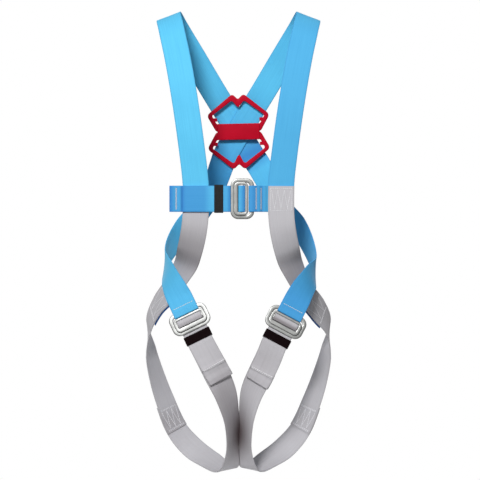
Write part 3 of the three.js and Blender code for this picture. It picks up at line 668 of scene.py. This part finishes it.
# One side's thigh webbing, hip tab and leg webbing, all cut from one route
def legWebbing(hip):
    side, buckle, layer = sides[hip], buckles[hip + "_leg"], web["layer"]
    mirror = np.array([side, 1, 1])
    rows = thigh["rows"].copy()
    rows[thigh["chestRows"], 1] = thigh["chestY"][hip]
    rows[thigh["hipRows"]] = thigh["hip"][hip]
    rows[thigh["crotchOut"], 0] += thigh["crotch"][hip]["out"]
    rows[thigh["crotchY"], 1] += thigh["crotch"][hip]["y"]
    rows[:, :3] *= mm
    across = buckle["across"] * np.sign(buckle["across"][2])
    top = place(buckle, [thigh["straightT"] * mm, threading["main"] * mm - layer, 0])
    rows = np.vstack([rows, np.concatenate([top * mirror, across * mirror])])
    route = layRoute(rows, side)
    upper = routePart(route, 0, thigh["splice"][1])
    strips["thigh" + hip] = makeStrip(
        "thigh-webbing-" + hip, upper["p"], upper["a"], greyWebbing, "thigh_strap_" + hip,
        shadeAndTintAlong(thigh["dyeAndShade"][hip]))
    # the hip tab is the blue webbing in navy, as painted shade
    tab = routePart(route, *thigh["tab"], lift=-layer, slide=thigh["tabSlide"])
    strips["tab" + hip] = makeStrip(
        "hip-tab-webbing-" + hip, tab["p"], tab["a"], paintedShadeWebbing, "hip_tab_" + hip)

    # up to the adjuster, through it, then back down over itself as the tail
    lower = routePart(route, thigh["splice"][0], np.inf, lift=layer)
    straight = thigh["straightT"] - thigh["lap"]
    corners = [[straight, threading["main"]], *overBar, [straight, threading["tail"]]]
    threaded = bentPath(buckle, corners, [0, *barRadii, 0], threading["step"], [threading["crown"]])
    tail, tailAcross, hem = tailPath(lower, legTail[hip])
    path = np.vstack([lower["p"], threaded, tail])
    acrossAll = np.vstack([lower["a"], np.tile(across, (len(threaded), 1)), tailAcross])
    # the leg webbing's dye attribute is painted shade in the crease, on the legs and over the adjuster's bar
    strip = makeStrip("leg-webbing-" + hip, path, acrossAll, greyWebbing, "leg_strap_" + hip,
                      lambda verts, share: paintedLegShade(verts, hip))
    strips["leg" + hip] = {**strip, "hem": hem}


for hip in sides:
    legWebbing(hip)
print("thigh and leg webbing made")

# Chest straps: corners in t and n of the chest buckle, the radius at each corner, ripples, and dye by t:
# partly the straps' own deeper blue, partly painted shade in bands along the ripples, the hem and the ring
chestStraps = {
    "left": {
        "corners": [[60.4, -5.6], [62.6, -5.6], [66.4, -10], [115.5, -10], [115.5, threading["main"]],
                    *overBar, [135, threading["tail"]], [135, 1.0], [114.5, 1.0]],
        "radii": [0, 1.2, 1.2, 2.6, 2.6, *barRadii, 1.1, 1.1, 0],
        "ripples": [threading["crown"], [36, 1.4, 3], [118.5, 1.2, 2.4], [123.6, -0.3, 2], [129.5, 1.3, 2.4]],
        "dyeAndShade": [[8, 0.85], [11.5, 0.55], [16, 0.3], [29, 0.9], [33, 0.75], [37, 0.45], [42, 0.45], [59, 0.2],
                [66, 0.32], [76, 0.65], [108, 0.68], [114.5, 0.95], [118.5, 0.5], [123.6, 0.6], [127, 0.5],
                [130, 0.75], [135, 1]],
    },
    "right": {
        "corners": [[-77, -5.6], [-33, -5.6], *roundRing, [-27, -5.8]],
        "radii": [0, 4, *loop["radii"], 0],
        "ripples": [[-6.5, 0.9, 2.4], [-13, -0.5, 2], [-18, 1, 2.4], [-23, -0.5, 2], [-28, 1, 2.4]],
        "dyeAndShade": [[-33, 0.3], [-28, 0.4], [-23, 0.75], [-18, 0.5], [-13, 0.8], [-8, 0.75], [-2, 0.65]],
    },
}
for name, strap in chestStraps.items():
    path = bentPath(chestBuckle, strap["corners"], strap["radii"], threading["step"], strap["ripples"])
    across = np.tile([0.0, 0, 1], (len(path), 1))
    strips["chest" + name] = makeStrip("chest-webbing-" + name, path, across, blueWebbing,
                                       "chest_strap_" + name, shadeAndTintAlong(strap["dyeAndShade"], chestBuckle))
print("chest webbing made")


# Closed outline from corners and radii in a plane, with the same number of points for every corner
def outline(corners, radii, steps=8):
    return roundCorners(corners, radii, steps, closed=True)


# the same for a box of some width about the middle, from low to high
def boxOutline(width, low, high, corner):
    x = width / 2
    return outline([[x, low], [x, high], [-x, high], [-x, low]], corner)


# Flat frame between two outlines: point = middle line + c*half wall, raised by s*half depth, where (c, s)
# is a squared circle, sign(cos)*|cos|^(2/k) and sign(sin)*|sin|^(2/k). Rim = 1.6*|c*s| - 0.5, kept in 0 to 1
def frameSurface(outer, inner, low, high, k, around=24):
    v = 2 * np.pi * np.arange(around) / around
    c = np.sign(np.cos(v)) * np.abs(np.cos(v)) ** (2 / k)
    s = np.sign(np.sin(v)) * np.abs(np.sin(v)) ** (2 / k)
    flat = (outer + inner)[:, None] / 2 + (outer - inner)[:, None] / 2 * c[:, None]
    depth = np.broadcast_to((low + high) / 2 + (high - low) / 2 * s, flat.shape[:2])
    rim = np.broadcast_to(np.clip(np.abs(c * s) * 1.6 - 0.5, 0, 1), flat.shape[:2])
    faces = gridFaces(*flat.shape[:2], True, True)[:, ::-1]
    return np.dstack([flat, depth]).reshape(-1, 3), faces.tolist(), rim.ravel()


# Slab with rounded edges: a rounded box outline shrunk by r*(1 - cos) at depth r*(1 - sin) from each face,
# closed by two flat caps. Rim = 1 - |2*level^2 - 1|, with level from -1 at one cap to 1 at the other
def slabSurface(middle, width, height, corner, low, high, r, steps=5):
    turn = np.linspace(0, np.pi / 2, steps)
    inset = np.concatenate([r * (1 - np.sin(turn)), r * (1 - np.cos(turn))])
    depth = np.concatenate([low + r * (1 - np.cos(turn)), high - r * (1 - np.sin(turn))])
    boxLoop = boxOutline(width, -height / 2, height / 2, corner)
    scale = 1 - 2 * inset[:, None] / np.array([width, height])
    flat = middle + boxLoop[None] * scale[:, None]
    verts = np.dstack([flat, np.broadcast_to(depth[:, None], flat.shape[:2])])
    count, around = flat.shape[:2]
    faces = gridFaces(count, around, False, True).tolist()
    faces += [list(range(around))[::-1], list(range((count - 1) * around, count * around))]
    level = np.linspace(-1, 1, count)[:, None]
    rim = np.broadcast_to(np.clip(1 - np.abs(2 * level**2 - 1), 0, 1), flat.shape[:2])
    return verts.reshape(-1, 3), faces, rim.ravel()


# Several surfaces as one set of points, faces and rims
def joined(*surfaces):
    shift = np.cumsum([0] + [len(verts) for verts, _, _ in surfaces])
    faces = [[k + int(add) for k in face] for (_, some, _), add in zip(surfaces, shift) for face in some]
    return np.vstack([s[0] for s in surfaces]), faces, np.concatenate([s[2] for s in surfaces])


# Buckles and keepers in millimetres; square is how boxy a section is, 2 being round
ring = {"width": 70, "top": -9.6, "bottom": 30.9, "bar": 7.5, "side": 7.2, "thick": 3, "corner": 13,
        "inner": 6, "square": 3.2}
adjuster = {"width": 58, "top": 0.7, "bottom": 25.5, "n": 3.3, "thick": 3, "round": 8, "square": 3.6,
            "slotTop": 5.2, "slotBottom": 17.9, "slotWidth": 46, "slotCorner": 1.2,
            "barTop": 7.8, "barBottom": 15.3, "barReach": 3, "barCorner": 1, "barRound": 1.2}
keeper = {"length": 15.5, "wall": 1.3, "corner": 1.6, "insideCorner": 0.4, "square": 7,
          "insideWidth": 45.8, "insideHeight": 4.8, "n": -2.3,
          "t": {"chest": 43.5, "left_leg": 35.5, "right_leg": 35.5},
          # the chest keeper's paler elastic is painted light
          "finish": {"chest": paintedLightElastic, "left_leg": blackElastic, "right_leg": blackElastic}}

for spot, buckle in buckles.items():
    plane = [buckle["across"], -buckle["down"], buckle["out"]]
    outer = boxOutline(ring["width"], -ring["bottom"], -ring["top"], ring["corner"])
    inner = boxOutline(ring["width"] - 2 * ring["side"], -ring["bottom"] + ring["bar"],
                       -ring["top"] - ring["bar"], ring["inner"])
    flat, faces, rim = frameSurface(outer * mm, inner * mm, 0, ring["thick"] * mm, ring["square"])
    makePiece("ring-steel-" + spot, onto(buckle["origin"], plane, flat), faces, platedSteel,
              ("buckle_ring_" + spot,), values={"rim": rim})

    # the adjuster: a frame round both slots, and a bar between them that reaches into the frame's sides
    outer = boxOutline(adjuster["width"], -adjuster["bottom"], -adjuster["top"], adjuster["round"])
    inner = boxOutline(adjuster["slotWidth"], -adjuster["slotBottom"], -adjuster["slotTop"],
                       adjuster["slotCorner"])
    low, high = adjuster["n"] * mm, (adjuster["n"] + adjuster["thick"]) * mm
    around = frameSurface(outer * mm, inner * mm, low, high, adjuster["square"])
    middle = np.array([0, -(adjuster["barTop"] + adjuster["barBottom"]) / 2]) * mm
    barWide = (adjuster["slotWidth"] + adjuster["barReach"]) * mm
    barTall = (adjuster["barBottom"] - adjuster["barTop"]) * mm
    bar = slabSurface(middle, barWide, barTall, adjuster["barCorner"] * mm, low, high,
                      adjuster["barRound"] * mm)
    flat, faces, rim = joined(around, bar)
    makePiece("adjuster-steel-" + spot, onto(buckle["origin"], plane, flat), faces, platedSteel,
              ("buckle_adjuster_" + spot,), values={"rim": rim})

    # the keeper: a band round two layers of webbing
    wide, tall, wall = keeper["insideWidth"], keeper["insideHeight"], keeper["wall"]
    outer = boxOutline(wide + 2 * wall, -tall / 2 - wall, tall / 2 + wall, keeper["corner"])
    inner = boxOutline(wide, -tall / 2, tall / 2, keeper["insideCorner"])
    flat, faces, rim = frameSurface(outer * mm, inner * mm, 0, keeper["length"] * mm, keeper["square"])
    start = place(buckle, [keeper["t"][spot] * mm, keeper["n"] * mm, 0])
    band = onto(start, [buckle["across"], buckle["out"], buckle["down"]], flat)
    girth = np.repeat(runAlong(outer * mm), len(flat) // len(outer))
    makePiece("keeper-band-" + spot, band, faces, keeper["finish"][spot], ("keeper_" + spot,),
              uv=np.column_stack([girth, flat[:, 2]]), uvName="band")
print("buckles and keepers made")

# Back plate: half outlines from the top notch to the waist as x, z and corner radius, for the upper frame (1)
# and the lower one (-1)
plate = {
    "outline": [[0, 58.5, 3], [10, 68.5, 6], [57, 30.5, 8], [40, 0, 8]],
    "window": {1: [[0, 43, 3], [11, 56.5, 4], [47.5, 29.5, 3], [39, 14.5, 3]],
               -1: [[0, 38.5, 3], [9.5, 58, 4], [47.5, 29.5, 3], [39, 14.5, 3]]},
    "thick": 4, "square": 3.4, "cornerSteps": 6, "y": 84, "z": -200, "tilt": 1.3,
    "bridge": {"width": 76, "height": 29, "depth": 6, "corner": 2, "round": 1.2},
    "tooth": {"x": 43, "z": 22, "width": 10, "height": 6, "depth": 3.8, "corner": 1, "round": 0.8},
}


# half outline mirrored to a closed loop, counter-clockwise from the notch; flip gives the lower frame
def plateLoop(half, flip):
    half = np.asarray(half, float)
    left = half[1:] * [-1, 1, 1]
    rows = np.vstack([half[:1], left, half[:0:-1]]) * [1, flip, 1]
    if flip < 0:
        rows = np.vstack([rows[:1], rows[:0:-1]])
    return outline(rows[:, :2], rows[:, 2], plate["cornerSteps"]) * mm


# the upper or the lower frame, between its outline and its window
def plateFrame(flip):
    outer, inner = plateLoop(plate["outline"], flip), plateLoop(plate["window"][flip], flip)
    return frameSurface(outer, inner, 0, plate["thick"] * mm, plate["square"])


# a box of the plate's table, at a place in the plate's plane
def plateBox(box, x, z):
    size = np.array([box["width"], box["height"], box["corner"]]) * mm
    return slabSurface(np.array([x, z]) * mm, *size, 0, box["depth"] * mm, box["round"] * mm)


tooth = plate["tooth"]
teeth = [plateBox(tooth, x * tooth["x"], z * tooth["z"]) for x in (-1, 1) for z in (-1, 1)]
flat, faces, rim = joined(plateFrame(1), plateFrame(-1), plateBox(plate["bridge"], 0, 0), *teeth)
tilt = np.radians(plate["tilt"])
right, up = np.array([np.cos(tilt), 0, np.sin(tilt)]), np.array([-np.sin(tilt), 0, np.cos(tilt)])
plateOrigin = np.array([0, plate["y"], plate["z"]]) * mm
makePiece("back-plate-moulded", onto(plateOrigin, [right, up, np.array([0, -1.0, 0])], flat), faces,
          redMoulded, ("back_plate",), values={"rim": rim})

# Back ring: a round bar bent in a closed loop. Point = path + radius*(cos*e1 + sin*e2)
backRing = {"bar": 7, "halfWidth": 33, "y": 87.8, "depth": 14, "height": 58, "lean": 32,
            "bends": [6, 6, 8, 25, 25, 8], "bendSteps": 12, "sides": 20, "aside": [1.0, 1, -1]}
lean = np.radians(backRing["lean"])
front, rear = backRing["y"], backRing["y"] + backRing["depth"]
bow = [rear + backRing["height"] * np.sin(lean), plate["z"] + backRing["height"] * np.cos(lean)]
reach = backRing["halfWidth"]
ringCorners = [[-reach, front, plate["z"]], [reach, front, plate["z"]], [reach, rear, plate["z"]],
               [reach, *bow], [-reach, *bow], [-reach, rear, plate["z"]]]
path = roundCorners(ringCorners, backRing["bends"], backRing["bendSteps"], closed=True) * mm
tangent = unit(unit(np.roll(path, -1, axis=0) - path) + unit(path - np.roll(path, 1, axis=0)))
e1 = squared(np.tile(backRing["aside"], (len(path), 1)), tangent)  # aside is never along the bar
e2 = np.cross(tangent, e1)
v = (2 * np.pi * np.arange(backRing["sides"]) / backRing["sides"])[None, :, None]
verts = path[:, None] + backRing["bar"] / 2 * mm * (np.cos(v) * e1[:, None] + np.sin(v) * e2[:, None])
makePiece("back-ring-steel", verts, gridFaces(*verts.shape[:2], True, True).tolist(), platedSteel,
          ("back_ring",), values={"rim": np.zeros(verts.shape[:2])})
print("back plate and back ring made")

# Stitches: small spindles of thread along rows on a strip's face; swell is the thickness at each place along
stitch = {"length": 3 * mm, "pitch": 3.4 * mm, "radius": 0.52 * mm, "sides": 6, "flat": 0.7, "lift": 0.1 * mm,
          "along": np.array([-1, -0.72, 0, 0.72, 1]), "swell": np.array([0.35, 0.85, 1, 0.85, 0.35])}


# run along the strip at the station nearest to a point
def runAt(strip, point, low=0.0, high=np.inf):
    distance = np.linalg.norm(strip["p"] - point, axis=1)
    distance[(strip["run"] < low) | (strip["run"] > high)] = np.inf
    return strip["run"][np.argmin(distance)]


# Middles, directions and normals of stitches along corners given as run and offset on a strip.
# face is 1 on the side that n = t x a points to, and -1 on the other
def stitchRow(strip, corners, face, count=0):
    corners = np.asarray(corners, float)
    length = runAlong(corners)
    count = count or max(1, int(length[-1] / stitch["pitch"]))
    at = (np.arange(count) + 0.5) * length[-1] / count
    run, offset = np.interp(at, length, corners[:, 0]), np.interp(at, length, corners[:, 1])
    leg = np.clip(np.searchsorted(length, at) - 1, 0, len(corners) - 2)
    heading = unit(np.diff(corners, axis=0))[leg]
    p, t, a, n = atRuns(strip, strip["run"], run).values()
    middle = p + a * offset[:, None] + n * face * (web["thick"] / 2 + stitch["lift"])
    return middle, unit(t * heading[:, :1] + a * heading[:, 1:]), n * face


# Spindle: point = middle + length/2*x along + radius*r(x)*(cos*side + flat*sin*up), with r less at both ends
def sewPiece(name, material, slot, *rows):
    middle, along, up = (np.vstack(parts) for parts in zip(*rows))
    up = squared(up, along)
    side = np.cross(along, up)
    x, r = stitch["along"] * stitch["length"] / 2, stitch["swell"] * stitch["radius"]
    v = 2 * np.pi * np.arange(stitch["sides"]) / stitch["sides"]
    around = side[:, None] * np.cos(v)[:, None] + up[:, None] * np.sin(v)[:, None] * stitch["flat"]
    verts = middle[:, None, None] + along[:, None, None] * x[:, None, None]
    verts = verts + around[:, None] * r[:, None, None]
    block = gridFaces(len(x), len(v), False, True)
    per = len(x) * len(v)
    faces = (block + np.arange(len(middle))[:, None, None] * per).reshape(-1, 4).tolist()
    ends = np.array([list(range(len(v)))[::-1], list(range(per - len(v), per))])
    faces += (ends + np.arange(len(middle))[:, None, None] * per).reshape(-1, len(v)).tolist()
    uv = np.stack(np.broadcast_arrays(x[:, None], v[None, :]), axis=-1)
    uv = np.tile(uv.reshape(-1, 2), (len(middle), 1))
    return makePiece(name, verts, faces, material, uv=uv, uvName="thread", sharp=80)


# corners of a row across the strip, of a zigzag between two runs, and of a box
def barRow(run, half):
    return [[run, -half], [run, half]]


def zigzag(low, high, half, peaks):
    offset = np.linspace(-half, half, 2 * peaks + 1)
    return np.column_stack([np.where(np.arange(len(offset)) % 2, high, low), offset])


def boxRow(low, high, half):
    return [[low, -half], [high, -half], [high, half], [low, half], [low, -half]]


# Seams: half widths across, and distances along from the webbing's end
sewn = {
    "half": 18.5 * mm, "doubleGap": 1.7 * mm, "tackWide": 3.2 * mm, "tackPeaks": 15, "peaks": 3,
    "box": (4 * mm, 42 * mm), "boxInset": {"shoulder": 2 * mm, "thigh": 3 * mm}, "boxMargin": 2 * mm,
    "splice": (4 * mm, 41 * mm), "patchInset": 3 * mm, "patchMargin": 1 * mm,
    "tabInset": 5 * mm, "tabPeaks": 2, "hipSeam": np.array([-17, 2, 0]) * mm,
    "hemHalf": 20.5 * mm, "hemBetween": (130 * mm, 20 * mm),  # the hem's seam lies between these two
}
half = sewn["half"]


# the two rows of a double row across
def doubleBar(strip, run, face, half):
    gap = sewn["doubleGap"] / 2
    return [stitchRow(strip, barRow(run + shift, half), face) for shift in (-gap, gap)]


# a dense zigzag across the strip, one stitch to each stroke
def barTack(strip, run, face):
    wide, peaks = sewn["tackWide"] / 2, sewn["tackPeaks"]
    return stitchRow(strip, zigzag(run - wide, run + wide, half, peaks), face, 2 * peaks)


# two double rows across with a zigzag between them
def sewnPatch(strip, low, high, face, peaks):
    inset, inner = sewn["patchInset"], half - sewn["patchMargin"]
    return [*doubleBar(strip, low, face, half), *doubleBar(strip, high, face, half),
            stitchRow(strip, zigzag(low + inset, high - inset, inner, peaks), face)]


# a box at the webbing's end with a zigzag in it
def sewnBox(strip, face, inset):
    low, high = sewn["box"]
    inner = zigzag(low + inset, high - inset, half - sewn["boxMargin"], sewn["peaks"])
    return [stitchRow(strip, boxRow(low, high, half), face), stitchRow(strip, inner, face)]


for name, hip in opposite.items():
    strip, side = strips["shoulder" + name], sides[hip]
    seam = barRow(runAt(strip, place(buckles[hip + "_leg"], sewn["hipSeam"])), half)
    sewPiece("hip-end-stitches-" + hip, creamThread, "webbing_blue",
             stitchRow(strip, seam, side), stitchRow(strip, seam, -side))
    sewPiece("chest-back-stitches-" + name, creamThread, "webbing_blue",
             *sewnBox(strip, -side, sewn["boxInset"]["shoulder"]))

for hip, side in sides.items():
    upper, lower, tab = strips["thigh" + hip], strips["leg" + hip], strips["tab" + hip]
    tabLow = runAt(upper, tab["p"][0]) + sewn["tabInset"]
    tabHigh = runAt(upper, tab["p"][-1]) - sewn["tabInset"]
    near, far = sewn["splice"]
    end = upper["run"][-1]
    sewPiece("thigh-stitches-" + hip, greyThread, "webbing_grey",
             *sewnBox(upper, side, sewn["boxInset"]["thigh"]),
             *sewnPatch(upper, tabLow, tabHigh, side, sewn["tabPeaks"]),
             *sewnPatch(upper, end - far, end - near, -side, sewn["peaks"]))
    sewPiece("leg-stitches-" + hip, greyThread, "webbing_grey",
             *sewnPatch(lower, near, far, side, sewn["peaks"]))
    hem = runAt(lower, lower["hem"], *(lower["run"][-1] - np.array(sewn["hemBetween"])))
    sewPiece("leg-hem-stitches-" + hip, whiteThread, "webbing_grey",
             *doubleBar(lower, hem, -side, sewn["hemHalf"]))

# Bar tacks of the chest straps, in t and n: through the tail's hem, and twice through the loop round the ring
chestSewn = {"tail": np.array([123.6, 1, 0]) * mm, "hemLong": 25 * mm, "tailLong": 60 * mm,
             "loopT": (-13, -23), "loopN": 3, "frontTo": 78 * mm, "backFrom": 82 * mm}
strip, seam = strips["chestleft"], place(chestBuckle, chestSewn["tail"])
hemStart, tailStart = (strip["run"][-1] - chestSewn[key] for key in ("hemLong", "tailLong"))
sewPiece("chest-tail-stitches", dullThread, "webbing_blue",
         barTack(strip, runAt(strip, seam, hemStart), 1),
         barTack(strip, runAt(strip, seam, tailStart, hemStart), 1))
strip, rows = strips["chestright"], []
for t in chestSewn["loopT"]:
    front, back = place(chestBuckle, np.array([[t, chestSewn["loopN"], 0], [t, -chestSewn["loopN"], 0]]) * mm)
    rows.append(barTack(strip, runAt(strip, front, 0, chestSewn["frontTo"]), -1))
    rows.append(barTack(strip, runAt(strip, back, chestSewn["backFrom"]), -1))
sewPiece("chest-loop-stitches", dullThread, "webbing_blue", *rows)
print("stitches sewn")

# Camera level with the middle of the harness, as far off as the photograph's perspective asks
view = {"place": (0.00265, -3.6, -0.3957), "lens": 152.84, "sensor": 36}
camera = bpy.data.objects.new("camera", bpy.data.cameras.new("camera"))
camera.data.lens = view["lens"]
camera.data.sensor_width = view["sensor"]
camera.location = view["place"]
camera.rotation_euler = (np.pi / 2, 0, 0)
bpy.context.scene.collection.objects.link(camera)
bpy.context.scene.camera = camera

# Soft studio light: a key above the camera on the left, a wide panel behind it, a top light and two behind,
# all aimed at the middle of the harness
lampAim = np.array([0, 0, -0.4])
lamps = {
    "key": {"place": (-0.62, -3.0, 1.05), "size": 0.6, "power": 108},
    "panel": {"place": (0.6, -4.4, -0.2), "size": 3.0, "power": 8},
    "top": {"place": (0, -0.4, 2.2), "size": 1.8, "power": 14},
    "rearLeft": {"place": (-1.8, 2.4, 0.5), "size": 1.6, "power": 44},
    "rearRight": {"place": (1.8, 2.4, 0.5), "size": 1.6, "power": 44},
}
for name, lamp in lamps.items():
    data = bpy.data.lights.new(name, "AREA")
    data.energy, data.size = lamp["power"], lamp["size"]
    light = bpy.data.objects.new(name, data)
    aim = lampAim - np.array(lamp["place"])
    light.location = lamp["place"]
    light.rotation_euler = (np.arctan2(np.hypot(aim[0], aim[1]), -aim[2]), 0, np.arctan2(-aim[0], aim[1]))
    bpy.context.scene.collection.objects.link(light)

# White all round for the eye, dimmer as light
studio = {"white": (1, 1, 1, 1), "ambient": 0.13}
world = bpy.data.worlds.new("studio")
world.use_nodes = True
tree = world.node_tree
seen, ambient = tree.nodes["Background"], tree.nodes.new("ShaderNodeBackground")
for background in (seen, ambient):
    background.inputs["Color"].default_value = studio["white"]
ambient.inputs["Strength"].default_value = studio["ambient"]
mix = tree.nodes.new("ShaderNodeMixShader")
tree.links.new(tree.nodes.new("ShaderNodeLightPath").outputs["Is Camera Ray"], mix.inputs[0])
tree.links.new(ambient.outputs[0], mix.inputs[1])
tree.links.new(seen.outputs[0], mix.inputs[2])
tree.links.new(mix.outputs[0], tree.nodes["World Output"].inputs[0])
bpy.context.scene.world = world
bpy.context.scene.view_settings.view_transform = "Standard"

# Pale round floor under the harness, below the picture
floor = {"z": -0.9, "radius": 0.6, "sides": 96, "speck": 40.0,
         "dark": (0.8, 0.8, 0.8), "light": (0.84, 0.84, 0.84)}
turn = 2 * np.pi * np.arange(floor["sides"]) / floor["sides"]
circle = np.column_stack([np.cos(turn), np.sin(turn)]) * floor["radius"]
disc = np.column_stack([circle, np.full(len(turn), floor["z"])])
floorMesh = bpy.data.meshes.new("floor")
floorMesh.from_pydata(disc.tolist(), [], [list(range(len(disc)))])
f = Finish("floor-pale")
speck = f.noise(f.objectPoint(), floor["speck"])
f.surface("Base Color", f.ramp(speck, [(0.3, floor["dark"]), (0.7, floor["light"])]))
f.surface("Roughness", 0.8)
floorMesh.materials.append(f.material)
floorPiece = bpy.data.objects.new("floor", floorMesh)
bpy.context.scene.collection.objects.link(floorPiece)
print("camera, light and floor set")
